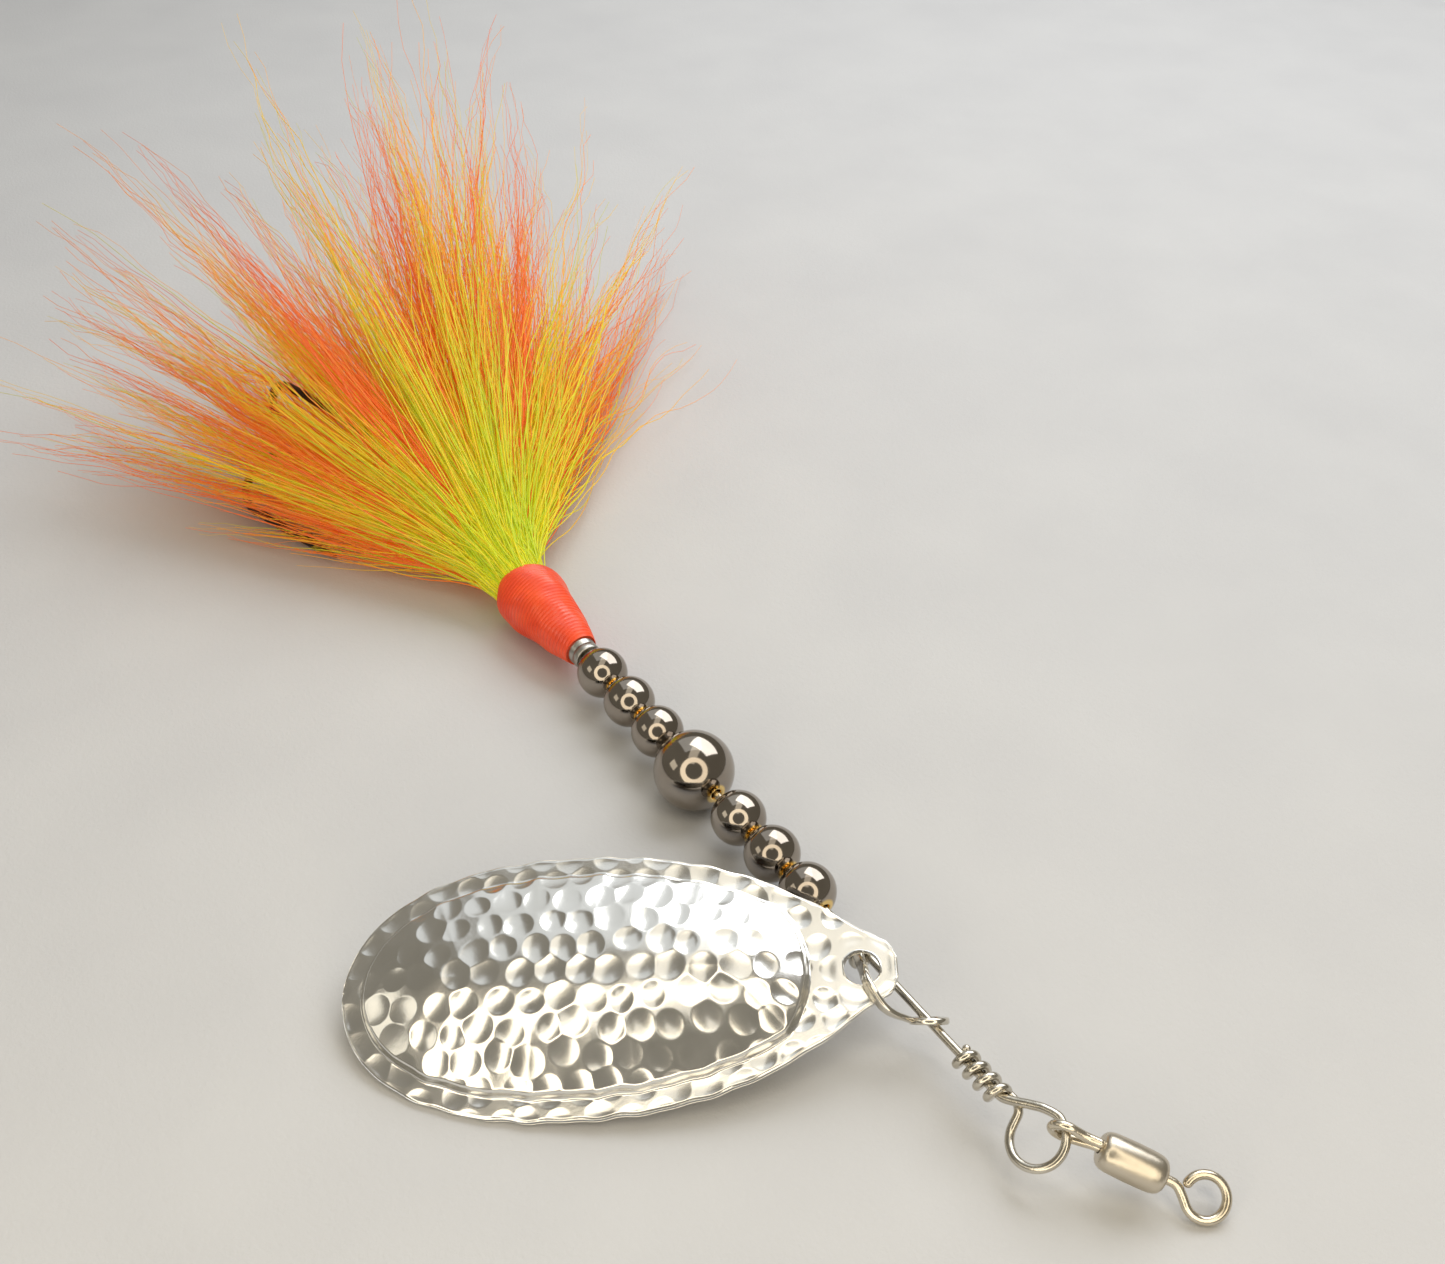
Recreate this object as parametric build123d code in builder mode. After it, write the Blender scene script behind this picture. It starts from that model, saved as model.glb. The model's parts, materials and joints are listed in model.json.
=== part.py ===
from build123d import *
import os
from math import acos, cos, radians, sin, tan

os.makedirs("parts", exist_ok=True)

# Inline spinner, millimetres. The wire shaft lies level along X, the line end towards +X and the
# hair tail towards -X, and +Z is up. Places are first written in the lure frame, whose origin is
# the centre of the big bead, and moved by at() so that the row's origin is the centre of the
# swivel's line eye.

# ---------------------------------------------------------------- driving dimensions
wire_dia = 0.68            # stainless shaft wire
wrap_turns = 4             # turns of the wire's end round the shaft, behind the front loop
wrap_pitch = 1.10
wrap_front_x = 39.40       # front end of the turns

small_bead_dia = 4.76      # 3/16 in beads
big_bead_dia = 7.14        # 9/32 in bead
bead_bore_clearance = 0.16  # radial, beads run loose on the wire
small_bead_gap = 0.10      # between two small beads
big_bead_rear_gap = 0.05   # between the big bead and the small bead behind it
big_bead_front_gap = 0.90  # the loose stack of beads opens here
small_bead_count = 3       # on each side of the big bead

tube_dia = 2.80            # tail tube that carries the thread wrap
tube_length = 13.40
tube_step = 0.08           # gap from the last bead to the tube
tube_visible = 1.50        # bare tube in front of the thread
glue_gap = 0.03            # radial gap that the cement fills

thread_front_dia = 3.30
thread_full_dia = 6.60
thread_rear_dia = 6.30
thread_overhang = 0.20     # thread beyond the tube's rear end
thread_full_inset = 2.70   # from the thread's rear end to its fattest place

front_loop_radius = 2.08   # centre line of the wire
front_loop_tilt = 33.5     # the loop's plane, degrees above level on its +Y side
front_loop_neck = 1.62     # from the turns' front end to the loop, along the shaft
front_loop_offset = -0.10  # the loop's centre, across the shaft in the loop's plane
front_loop_first = 104     # where the shaft's leg meets the loop, degrees round it
front_loop_last = -170     # where the loop turns back to the shaft
rear_loop_radius = 1.60
rear_loop_neck = 0.90      # from the tail tube's rear end to the loop's front

swivel_wire_dia = 0.70
swivel_contact = 56        # where the swivel's eye hangs on the front loop, degrees round it
swivel_yaw = 37.9          # of the swivel's axis, degrees from +X towards +Y
swivel_pitch = -17.4
lure_eye_side_play = 0.19  # between the loop's wire and the eye's nose, at its sides
lure_eye_end_play = 0.28   # and at its end
lure_eye_open = 70         # where the nose's arc meets the eye's sides, degrees off the swivel's axis
lure_eye_throat = 1.75     # from the loop's wire to where the eye's two sides meet
barrel_start = 2.50        # along the swivel's axis, from the loop's wire
barrel_length = 4.80
barrel_dia = 2.80
barrel_wall = 0.35
barrel_end_wall = 0.45
barrel_crimp = 0.75        # corner radius of the crimped ends
swivel_head_dia = 1.50     # eye heads, captive inside the barrel
swivel_head_length = 0.70
swivel_clearance = 0.08
line_eye_radius = 1.50     # centre line
line_eye_distance = 10.36  # from the loop's wire to the line eye's centre
line_eye_roll = 35.6       # of the line eye's plane about the swivel's axis, degrees

clevis_strip_dia = 0.60
clevis_tab_dia = 3.00
clevis_tab_thickness = 0.40
clevis_tab_play = 0.07     # round the wire, where the front tab leans
clevis_front_x = 31.60
clevis_front_yaw = 55.9    # of the front tab's level direction, degrees from +X towards +Y
clevis_front_rise = 39.1   # of the front tab's normal
clevis_rear_x = 24.00
clevis_rear_turn = 133.8   # where the strip leaves the rear tab, degrees round the shaft from +Y
clevis_bend_radius = 0.45
# The strip's bends by the blade's hole: along the blade, across it, and over its face as a share
# of what just clears it.
clevis_bends = ((-1.40, 3.60, 1.0), (-0.20, 1.45, 1.7), (-0.10, -0.15, 0.0), (0.00, -0.75, -1.1))

blade_length = 42.0
blade_half_width = 10.25
blade_thickness = 0.60
blade_hole_dia = 2.70
blade_hole_inset = 2.65    # from the truncated tip to the hole's centre
blade_tip_half_width = 1.35
# The outline's places: shares of the length from the tip, and of the half width.
blade_outline = ((0.16, 0.57), (0.31, 0.85), (0.58, 1.00), (0.83, 0.83))
blade_tip_flare = (0.75, 1)  # direction of the outline as it leaves the tip
blade_rim = 2.30           # flat rim round the dome
blade_dome_height = 2.60
blade_dome_start = 8.40    # from the tip to the dome's front end
blade_dome_lean = 2.40     # how far the dome's wall leans in over its height
blade_hole_place = (26.22, -2.17, 1.78)
blade_heading = -124.2     # of the blade's far end, degrees from +X towards +Y
blade_pitch = -5.0
blade_roll = -16.8
blade_sink = 0.10          # of the blade's underside below the hole's middle plane

hook_wire_dia = 0.95
hook_eye_radius = 1.55     # centre line
hook_link_gap = 0.10
hook_heading = -18.0       # of the hook's bends, degrees from -X towards -Y
hook_pitch = 3.3           # the shank rises towards the bends
hook_shank = 30.5          # from the eye's centre to the start of the bends
hook_spread = 8.30         # from the shank's axis to a point's arm
hook_arm = 10.5
hook_tip_length = 2.6
hook_tip_radius = 0.08
hook_braze_gap = 0.04
single_hook_start = 3.20   # from the eye's centre

# A tuft is (azimuth from -X towards +Y, elevation, length), and grows from the thread's rear end.
# The space under the middle of the tail is left to the treble hook.
chartreuse_tufts = ((-32, 13, 68), (-17, 30, 72), (11, 29, 82), (39, 21, 80), (11, 10, 74), (39, 4, 76))
orange_tufts = ((-31, 31, 64), (-3, 31, 78), (25, 24, 84), (25, 7, 80))
tuft_root_radius = 0.34
tuft_root_step = 0.25      # from the thread's rear end to the tufts
tuft_spread_y = 0.060      # place of a tuft's root across the thread, per degree of azimuth
tuft_spread_z = 0.050      # and up the thread, per degree of elevation
tuft_root_rise = 0.90
tuft_growth = 0.090        # radius gained per millimetre of length
tuft_full_share = 0.50     # of the length, where a tuft is thickest
tuft_tip_radius = 0.90

# ---------------------------------------------------------------- shared places
wire_radius = wire_dia / 2
small_radius = small_bead_dia / 2
big_radius = big_bead_dia / 2
bore_radius = wire_radius + bead_bore_clearance
swivel_wire_radius = swivel_wire_dia / 2
hook_wire_radius = hook_wire_dia / 2


def heading(yaw, pitch):
    """Unit vector at yaw degrees from +X towards +Y, pitched up by pitch degrees."""
    level = cos(radians(pitch))
    return Vector(level * cos(radians(yaw)), level * sin(radians(yaw)), sin(radians(pitch)))


def rolled(direction, roll):
    """Unit vector square to direction, upright at roll 0 and turned about it by roll degrees."""
    side = direction.cross(Vector(0, 0, 1)).normalized()
    upright = side.cross(direction)
    return upright * cos(radians(roll)) + side * sin(radians(roll))


front_loop_x = wrap_front_x + front_loop_neck + front_loop_radius
loop_across = Vector(0, cos(radians(front_loop_tilt)), sin(radians(front_loop_tilt)))
loop_centre = Vector(front_loop_x, 0, 0) + loop_across * front_loop_offset


def on_front_loop(angle):
    """A place on the front loop's centre line, in the lure frame."""
    out = Vector(1, 0, 0) * cos(radians(angle)) + loop_across * sin(radians(angle))
    return loop_centre + out * front_loop_radius


swivel_axis = heading(swivel_yaw, swivel_pitch)
swivel_pivot = on_front_loop(swivel_contact)
swivel_hinge = loop_across * cos(radians(swivel_contact)) - Vector(1, 0, 0) * sin(radians(swivel_contact))
line_eye_centre = swivel_pivot + swivel_axis * line_eye_distance
line_eye_normal = rolled(swivel_axis, line_eye_roll)


def at(place, y=0.0, z=0.0):
    """A place in the lure frame, given in the row's frame."""
    here = place if isinstance(place, Vector) else Vector(place, y, z)
    return here - line_eye_centre


def across(x):
    """The plane square to the shaft at x, its normal towards the line end."""
    return Plane(origin=at(x), x_dir=(0, 1, 0), z_dir=(1, 0, 0))


def along(x):
    """The upright plane through the shaft's axis, with its origin at x."""
    return Plane(origin=at(x), x_dir=(1, 0, 0), z_dir=(0, -1, 0))


def finish(builder, name):
    """Label a finished piece and write its STEP."""
    builder.part.label = name
    export_step(builder.part, f"parts/{name}.step")


small_pitch = small_bead_dia + small_bead_gap
first_rear_bead_x = -(big_radius + big_bead_rear_gap + small_radius)
first_front_bead_x = big_radius + big_bead_front_gap + small_radius
rear_bead_x = [first_rear_bead_x - i * small_pitch for i in range(small_bead_count)]
front_bead_x = [first_front_bead_x + i * small_pitch for i in range(small_bead_count)]
tube_front_x = rear_bead_x[-1] - small_radius - tube_step
tube_rear_x = tube_front_x - tube_length
thread_front_x = tube_front_x - tube_visible
thread_length = tube_length - tube_visible + thread_overhang
thread_rear_x = thread_front_x - thread_length
rear_loop_x = tube_rear_x - rear_loop_neck - rear_loop_radius
hook_pivot_x = rear_loop_x - rear_loop_radius

blade_axis = heading(blade_heading, blade_pitch)
blade_normal = rolled(blade_axis, blade_roll)
blade_hole_centre = Vector(*blade_hole_place)
blade_plane = Plane(origin=at(blade_hole_centre), x_dir=blade_axis, z_dir=blade_normal)

hook_axis = heading(180 - hook_heading, hook_pitch)
hook_pivot = Vector(hook_pivot_x, 0, 0)
hook_eye_reach = wire_radius + hook_wire_radius + hook_link_gap
hook_eye_centre = hook_pivot + hook_axis * (hook_eye_radius - hook_eye_reach)


def add_wire(edges, radius):
    """Round wire along each edge in turn, with a ball where one meets the next."""
    for number, edge in enumerate(edges):
        with BuildSketch(Plane(origin=edge @ 0, z_dir=edge % 0)) as section:
            Circle(radius)
        sweep(section.sketch, path=edge)
        if number > 0:
            with Locations(edge @ 0):
                Sphere(radius)


def add_ring(centre, reach, normal, ring_radius, radius):
    """A ring of round wire about normal, closed at the end that reach points to."""
    with BuildSketch(Plane(origin=centre, x_dir=reach, z_dir=reach.cross(normal))) as section:
        with Locations((ring_radius, 0)):
            Circle(radius)
    revolve(section.sketch, axis=Axis(centre, normal))


# ---------------------------------------------------------------- shaft wire
def make_shaft_wire():
    """The shaft with its two loops, and the wire's end wrapped round the shaft."""
    loop_plane = Plane(origin=at(0), x_dir=(1, 0, 0), z_dir=Vector(1, 0, 0).cross(loop_across))
    rear_end = rear_loop_x + rear_loop_radius
    wrap_radius = wire_dia + glue_gap
    wrap_height = wrap_turns * wrap_pitch
    with BuildPart() as wire:
        with BuildLine(loop_plane):
            shaft = Line((rear_end, 0), (wrap_front_x, 0))
            loop = CenterArc(
                (front_loop_x, front_loop_offset), front_loop_radius,
                front_loop_first, front_loop_last - front_loop_first,
            )
            leg_out = Line(shaft @ 1, loop @ 0)
            leg_back = Line(loop @ 1, (wrap_front_x, -wrap_radius))
        add_wire((shaft, leg_out, loop, leg_back), wire_radius)
        add_ring(at(rear_loop_x), Vector(1, 0, 0), Vector(0, 1, 0), rear_loop_radius, wire_radius)
        with BuildLine():
            turns = Helix(wrap_pitch, wrap_height, wrap_radius, at(wrap_front_x - wrap_height), (1, 0, 0))
        with BuildSketch(Plane(origin=turns @ 0, z_dir=turns % 0)):
            Circle(wire_radius)
        sweep(path=turns, is_frenet=True)
    finish(wire, "shaft_wire")


# ---------------------------------------------------------------- beads
def make_bead(x, radius, name):
    """A polished bead with a bore that runs loose on the shaft."""
    with BuildPart() as bead:
        with BuildSketch(along(x)):
            Circle(radius)
            with Locations((0, bore_radius)):
                Rectangle(
                    2 * radius, radius + 2 * bore_radius, align=(Align.CENTER, Align.MAX), mode=Mode.SUBTRACT
                )
        revolve(axis=Axis(at(x), (1, 0, 0)))
    finish(bead, name)


# ---------------------------------------------------------------- tail tube and thread wrap
def make_tail_tube():
    """The plated tube on the shaft's rear end, which carries the thread and the hair."""
    with BuildPart() as tube:
        with BuildSketch(across(tube_rear_x)):
            Circle(tube_dia / 2)
            Circle(wire_radius + glue_gap, mode=Mode.SUBTRACT)
        extrude(amount=tube_length)
    finish(tube, "tail_tube")


def make_thread_wrap():
    """Winding thread built up over the hair's roots, fattest near its rear end."""
    inner = tube_dia / 2 + glue_gap
    full_x = thread_length - thread_full_inset
    with BuildPart() as wrap:
        with BuildSketch(along(thread_front_x)):
            with BuildLine():
                front = Line((0, inner), (0, thread_front_dia / 2))
                back = Line((-thread_length, thread_rear_dia / 2), (-thread_length, inner))
                Spline(front @ 1, (-full_x, thread_full_dia / 2), back @ 0)
                Line(back @ 1, front @ 0)
            make_face()
        revolve(axis=Axis(at(thread_front_x), (1, 0, 0)))
    finish(wrap, "thread_wrap")


# ---------------------------------------------------------------- hair
def make_tufts(tufts, name):
    """Bunches of hair as spindles that fan out from the thread's rear end."""
    with BuildPart() as hair:
        for azimuth, elevation, length in tufts:
            direction = heading(180 - azimuth, elevation)
            root = at(
                thread_rear_x - tuft_root_step,
                azimuth * tuft_spread_y,
                elevation * tuft_spread_z + tuft_root_rise,
            )
            full_radius = tuft_root_radius + tuft_growth * tuft_full_share * length
            sections = (
                (0, tuft_root_radius), (tuft_full_share * length, full_radius), (length, tuft_tip_radius),
            )
            for distance, radius in sections:
                with BuildSketch(Plane(origin=root + direction * distance, z_dir=direction)):
                    Circle(radius)
            loft(ruled=True)
    finish(hair, name)


# ---------------------------------------------------------------- swivel
def swivel_plane(normal):
    """A plane through the swivel's axis, its origin on the front loop's wire."""
    return Plane(origin=at(swivel_pivot), x_dir=swivel_axis, z_dir=normal)


def make_swivel():
    """Barrel swivel: a crimped barrel and two eyes, whose heads turn inside it."""
    hinge_along = swivel_axis * swivel_hinge.dot(swivel_axis)
    lure_eye_normal = (swivel_hinge - hinge_along).normalized()
    axis = Axis(at(swivel_pivot), swivel_axis)
    barrel_end = barrel_start + barrel_length
    cavity_start = barrel_start + barrel_end_wall
    cavity_end = barrel_end - barrel_end_wall
    neck_hole = swivel_wire_radius + swivel_clearance

    with BuildPart() as barrel:
        with BuildSketch(swivel_plane(lure_eye_normal)):
            with Locations((barrel_start, 0)):
                shell = Rectangle(barrel_length, barrel_dia / 2, align=(Align.MIN, Align.MIN))
            shell_axis = Axis(at(swivel_pivot), shell_up(lure_eye_normal))
            fillet(shell.vertices().group_by(shell_axis)[-1], barrel_crimp)
            with Locations((cavity_start, 0)):
                Rectangle(
                    cavity_end - cavity_start,
                    barrel_dia / 2 - barrel_wall,
                    align=(Align.MIN, Align.MIN),
                    mode=Mode.SUBTRACT,
                )
            with Locations((barrel_start, 0)):
                Rectangle(barrel_length, neck_hole, align=(Align.MIN, Align.MIN), mode=Mode.SUBTRACT)
        revolve(axis=axis)
    finish(barrel, "swivel_barrel")

    head_start = cavity_start + swivel_clearance
    lure_eye_radius = wire_radius + swivel_wire_radius + lure_eye_side_play
    nose_x = lure_eye_side_play - lure_eye_end_play
    with BuildPart() as lure_eye:
        with BuildLine(swivel_plane(lure_eye_normal)):
            neck = Line((head_start, 0), (lure_eye_throat, 0))
            nose = CenterArc((nose_x, 0), lure_eye_radius, lure_eye_open, 180 - lure_eye_open)
            side = Line(neck @ 1, nose @ 0)
        add_wire((neck, side, nose), swivel_wire_radius)
        mirror(about=Plane(origin=at(swivel_pivot), x_dir=swivel_axis, z_dir=shell_up(lure_eye_normal)))
        with BuildSketch(Plane(origin=neck @ 0, z_dir=swivel_axis)):
            Circle(swivel_head_dia / 2)
        extrude(amount=swivel_head_length)
    finish(lure_eye, "swivel_lure_eye")

    head_end = cavity_end - swivel_clearance
    with BuildPart() as line_eye:
        with BuildSketch(Plane(origin=at(swivel_pivot + swivel_axis * head_end), z_dir=-swivel_axis)):
            Circle(swivel_head_dia / 2)
        extrude(amount=swivel_head_length)
        with BuildSketch(Plane(origin=at(swivel_pivot + swivel_axis * head_end), z_dir=swivel_axis)):
            Circle(swivel_wire_radius)
        extrude(amount=line_eye_distance - line_eye_radius - head_end)
        add_ring(at(line_eye_centre), swivel_axis, line_eye_normal, line_eye_radius, swivel_wire_radius)
    finish(line_eye, "swivel_line_eye")


def shell_up(normal):
    """The direction square to the swivel's axis in the plane with this normal."""
    return normal.cross(swivel_axis)


# ---------------------------------------------------------------- clevis
def make_clevis():
    """Folded clevis: two tabs that turn on the shaft, joined by a strip through the blade's hole."""
    front_in_plane = heading(clevis_front_yaw, 0)
    front_normal = heading(clevis_front_yaw + 90, clevis_front_rise)
    rear_turn = radians(clevis_rear_turn)
    front = Vector(clevis_front_x, 0, 0)
    rear = Vector(clevis_rear_x, 0, 0)
    lean = acos(abs(front_normal.X))
    tab_hole = (wire_dia + 2 * clevis_tab_play) / cos(lean) + clevis_tab_thickness * tan(lean)
    tab_reach = clevis_tab_dia / 2 - clevis_strip_dia / 2
    over = blade_normal * (blade_thickness + clevis_strip_dia / 2)
    side = blade_normal.cross(blade_axis)
    strip = [front - front_in_plane * tab_reach]
    for forward, sideways, rise in clevis_bends:
        strip.append(blade_hole_centre + blade_axis * forward + side * sideways + over * rise)
    strip.append(rear + Vector(0, cos(rear_turn), sin(rear_turn)) * tab_reach)
    with BuildPart() as clevis:
        with BuildLine():
            path = FilletPolyline(*[at(place) for place in strip], radius=clevis_bend_radius)
        with BuildSketch(Plane(origin=path @ 0, z_dir=path % 0)):
            Circle(clevis_strip_dia / 2)
        sweep()
        for centre, normal in ((front, front_normal), (rear, Vector(1, 0, 0))):
            with BuildSketch(Plane(origin=at(centre), z_dir=normal)):
                Circle(clevis_tab_dia / 2)
            extrude(amount=clevis_tab_thickness / 2, both=True)
            with BuildSketch(Plane(origin=at(centre), z_dir=normal)):
                Circle(tab_hole / 2)
            extrude(amount=clevis_tab_thickness, both=True, mode=Mode.SUBTRACT)
    finish(clevis, "clevis")


# ---------------------------------------------------------------- blade
def make_blade():
    """A French blade: a flat rim round a stepped dome, with a truncated tip and one hole."""
    tip = -blade_hole_inset
    far = blade_length - blade_hole_inset
    dome_start = tip + blade_dome_start
    dome_end = far - blade_rim
    dome_half = blade_half_width - blade_rim
    dome_centre = (dome_start + dome_end) / 2
    dome_reach = (dome_end - dome_start) / 2
    lean = blade_dome_lean
    with BuildPart() as blade:
        with BuildSketch(blade_plane.offset(-blade_sink)):
            with BuildLine():
                tip_edge = Line((tip, 0), (tip, blade_tip_half_width))
                places = [
                    (tip + far_share * blade_length, wide * blade_half_width)
                    for far_share, wide in blade_outline
                ]
                Spline(tip_edge @ 1, *places, (far, 0), tangents=(blade_tip_flare, (0, -1)))
                mirror(about=Plane.XZ)
            make_face()
            Circle(blade_hole_dia / 2, mode=Mode.SUBTRACT)
        extrude(amount=blade_thickness)
        for drop, mode in ((0, Mode.ADD), (blade_thickness, Mode.SUBTRACT)):
            top = blade_dome_height - drop
            for height, reach in ((-drop, 0), (top, lean)):
                with BuildSketch(blade_plane.offset(height - blade_sink)):
                    with Locations((dome_centre, 0)):
                        Ellipse(dome_reach - drop - reach, dome_half - drop - reach)
            loft(mode=mode)
    finish(blade, "blade")


# ---------------------------------------------------------------- treble hook
def add_hook(turn, start):
    """One hook of the treble: shank, round bend, arm and point, turned about the shank's axis."""
    shank_offset = hook_wire_dia / 3 ** 0.5 + hook_braze_gap
    bend_radius = (hook_spread - shank_offset) / 2
    out = rolled(hook_axis, turn)
    plane = Plane(origin=at(hook_eye_centre), x_dir=hook_axis, z_dir=hook_axis.cross(out))
    with BuildLine(plane) as path:
        shank = Line((start, shank_offset), (hook_shank, shank_offset))
        bend = CenterArc((hook_shank, shank_offset + bend_radius), bend_radius, -90, 180)
        arm = Line(bend @ 1, (hook_shank - hook_arm, hook_spread))
    with BuildSketch(Plane(origin=shank @ 0, z_dir=hook_axis)) as section:
        Circle(hook_wire_radius)
    sweep(section.sketch, path=path.line)
    with BuildSketch(Plane(origin=arm @ 1, z_dir=-hook_axis)) as point_root:
        Circle(hook_wire_radius)
    with BuildSketch(Plane(origin=(arm @ 1) - hook_axis * hook_tip_length, z_dir=-hook_axis)) as point_tip:
        Circle(hook_tip_radius)
    loft((point_root.sketch, point_tip.sketch), ruled=True)


def make_treble():
    """A double hook bent with its eye, and a single hook brazed between its shanks."""
    eye_normal = rolled(hook_axis, 0)
    with BuildPart() as double_hook:
        add_ring(at(hook_eye_centre), hook_axis, eye_normal, hook_eye_radius, hook_wire_radius)
        for turn in (120, 240):
            add_hook(turn, hook_eye_radius)
    finish(double_hook, "treble_double_hook")

    with BuildPart() as single_hook:
        add_hook(0, single_hook_start)
    finish(single_hook, "treble_single_hook")


make_shaft_wire()
make_bead(0, big_radius, "big_bead")
for number in range(small_bead_count):
    make_bead(front_bead_x[number], small_radius, f"front_bead_{number + 1}")
    make_bead(rear_bead_x[number], small_radius, f"rear_bead_{number + 1}")
make_tail_tube()
make_thread_wrap()
make_tufts(chartreuse_tufts, "chartreuse_hair")
make_tufts(orange_tufts, "orange_hair")
make_swivel()
make_clevis()
make_blade()
make_treble()
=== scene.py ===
import json
from math import cos, pi, radians, sin

import bpy
import numpy as np
from mathutils import Matrix, Vector


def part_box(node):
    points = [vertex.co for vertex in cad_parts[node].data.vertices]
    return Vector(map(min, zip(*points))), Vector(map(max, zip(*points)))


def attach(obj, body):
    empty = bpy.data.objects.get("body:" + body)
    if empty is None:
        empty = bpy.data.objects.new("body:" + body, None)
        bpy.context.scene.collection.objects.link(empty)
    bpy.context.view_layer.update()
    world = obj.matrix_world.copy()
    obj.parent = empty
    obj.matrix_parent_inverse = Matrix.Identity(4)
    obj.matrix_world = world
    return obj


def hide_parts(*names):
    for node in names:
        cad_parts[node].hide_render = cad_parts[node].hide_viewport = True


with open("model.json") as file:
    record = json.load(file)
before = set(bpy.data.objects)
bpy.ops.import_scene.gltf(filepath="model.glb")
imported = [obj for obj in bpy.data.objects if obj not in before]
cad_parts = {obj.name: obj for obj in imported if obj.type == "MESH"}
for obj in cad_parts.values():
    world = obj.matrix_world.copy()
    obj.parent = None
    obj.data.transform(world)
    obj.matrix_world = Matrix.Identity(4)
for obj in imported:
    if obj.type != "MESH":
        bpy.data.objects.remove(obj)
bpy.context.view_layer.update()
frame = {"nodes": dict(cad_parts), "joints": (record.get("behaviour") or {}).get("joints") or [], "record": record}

# Lengths below are millimetres in the lure frame: the big bead's centre is the origin, +X runs
# along the shaft to the line end and +Z is up. to_world() turns them into the row's metres.
MM = 0.001
JOINTS = {joint["name"]: joint for joint in frame["joints"]}
BEAD_PLACE = np.mean(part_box("big_bead"), axis=0)


def to_world(points):
    """Lure-frame millimetres to row-frame metres."""
    return np.asarray(points, float) * MM + BEAD_PLACE


def from_world(place):
    """Row-frame metres to lure-frame millimetres."""
    return (np.asarray(place, float) - BEAD_PLACE) / MM


def box_mm(node):
    """A CAD node's box in lure-frame millimetres."""
    low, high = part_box(node)
    return from_world(low), from_world(high)


def unit(vector):
    """The vector at length 1, along its last axis."""
    vector = np.asarray(vector, float)
    return vector / np.linalg.norm(vector, axis=-1, keepdims=True)


def smooth(x, start, end):
    """0 before start, 1 after end, and a soft S between."""
    t = np.clip((x - start) / (end - start), 0, 1)
    return t * t * (3 - 2 * t)


def heading(yaw, pitch):
    """Unit vectors at yaw degrees from +X towards +Y, pitched up by pitch degrees."""
    yaw, pitch = np.radians(yaw), np.radians(pitch)
    return np.stack([np.cos(pitch) * np.cos(yaw), np.cos(pitch) * np.sin(yaw), np.sin(pitch)], -1)


def hermite(t, start, end, leave, arrive):
    """A cubic from start to end with these slopes at its ends, t running from 0 to 1."""
    return (
        start * (1 + 2 * t) * (1 - t) ** 2 + leave * t * (1 - t) ** 2
        + end * t * t * (3 - 2 * t) + arrive * t * t * (t - 1)
    )


def joint_place(name):
    """A joint's place in lure millimetres, and its axis."""
    joint = JOINTS[name]
    return from_world(joint["pos_m"]), unit(joint["axis"])


# ---- sizes that the looks follow
WIRE = 0.34  # radius of the shaft wire
FLOOR = box_mm("big_bead")[0][2]  # the big bead rests on the floor
BLADE_HOLE, BLADE_NORMAL = joint_place("blade_swing")
HOOK_PIVOT = joint_place("treble_swing")[0]
SWIVEL_PIVOT, SWIVEL_HINGE = joint_place("swivel_hang")
LINE_EYE_PLACE, SWIVEL_AXIS = joint_place("line_eye_spin")
THREAD_REAR, THREAD_FRONT = (corner[0] for corner in box_mm("thread_wrap"))


# ---- mesh helpers
def put_in_scene(name, data):
    """A new object with this data, linked into the scene."""
    thing = bpy.data.objects.new(name, data)
    bpy.context.scene.collection.objects.link(thing)
    return thing


def make_mesh(name, points, faces, body, replaced=()):
    """A mesh piece from lure millimetres, on its body, standing for CAD nodes."""
    faces = np.asarray(faces, np.int32)
    count, sides = faces.shape
    mesh = bpy.data.meshes.new(name)
    mesh.vertices.add(len(points))
    mesh.vertices.foreach_set("co", to_world(points).astype(np.float32).ravel())
    mesh.loops.add(count * sides)
    mesh.loops.foreach_set("vertex_index", faces.ravel())
    mesh.polygons.add(count)
    mesh.polygons.foreach_set("loop_start", np.arange(0, count * sides, sides, dtype=np.int32))
    mesh.polygons.foreach_set("loop_total", np.full(count, sides, np.int32))
    mesh.polygons.foreach_set("use_smooth", np.full(count, True))
    mesh.update(calc_edges=True)
    mesh.validate()
    piece = put_in_scene(name, mesh)
    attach(piece, body)
    if replaced:
        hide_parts(*replaced)
    return piece


def mark_points(piece, name, values):
    """A number at each point of a piece, for its material to read."""
    marks = piece.data.attributes.new(name, "FLOAT", "POINT")
    marks.data.foreach_set("value", values.astype(np.float32))


def band_faces(rows, columns):
    """Quads over rings of points that are stored ring by ring."""
    row, column = np.meshgrid(np.arange(rows - 1), np.arange(columns), indexing="ij")
    after = (column + 1) % columns
    near, far = row * columns, (row + 1) * columns
    return np.stack([near + column, near + after, far + after, far + column], -1).reshape(-1, 4)


def all_round(count):
    """Angles evenly round a circle."""
    return np.linspace(0, 2 * pi, count, endpoint=False)


def circle(side, up, angle):
    """Unit directions at these angles, from one direction towards another."""
    return side[..., None, :] * np.cos(angle)[:, None] + up[..., None, :] * np.sin(angle)[:, None]


def square_to(axis):
    """A unit vector square to an axis."""
    other = np.array([0, 0, 1.0]) if abs(axis[2]) < 0.9 else np.array([1.0, 0, 0])
    return unit(np.cross(axis, other))


def carried_frames(path):
    """Tangents and two square directions carried along a path without twist."""
    tangent = unit(np.gradient(path, axis=0))
    side = np.zeros_like(tangent)
    side[0] = square_to(tangent[0])
    for i in range(1, len(path)):
        flat = side[i - 1] - tangent[i] * np.dot(side[i - 1], tangent[i])
        side[i] = unit(flat)
    return tangent, side, np.cross(tangent, side)


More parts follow.
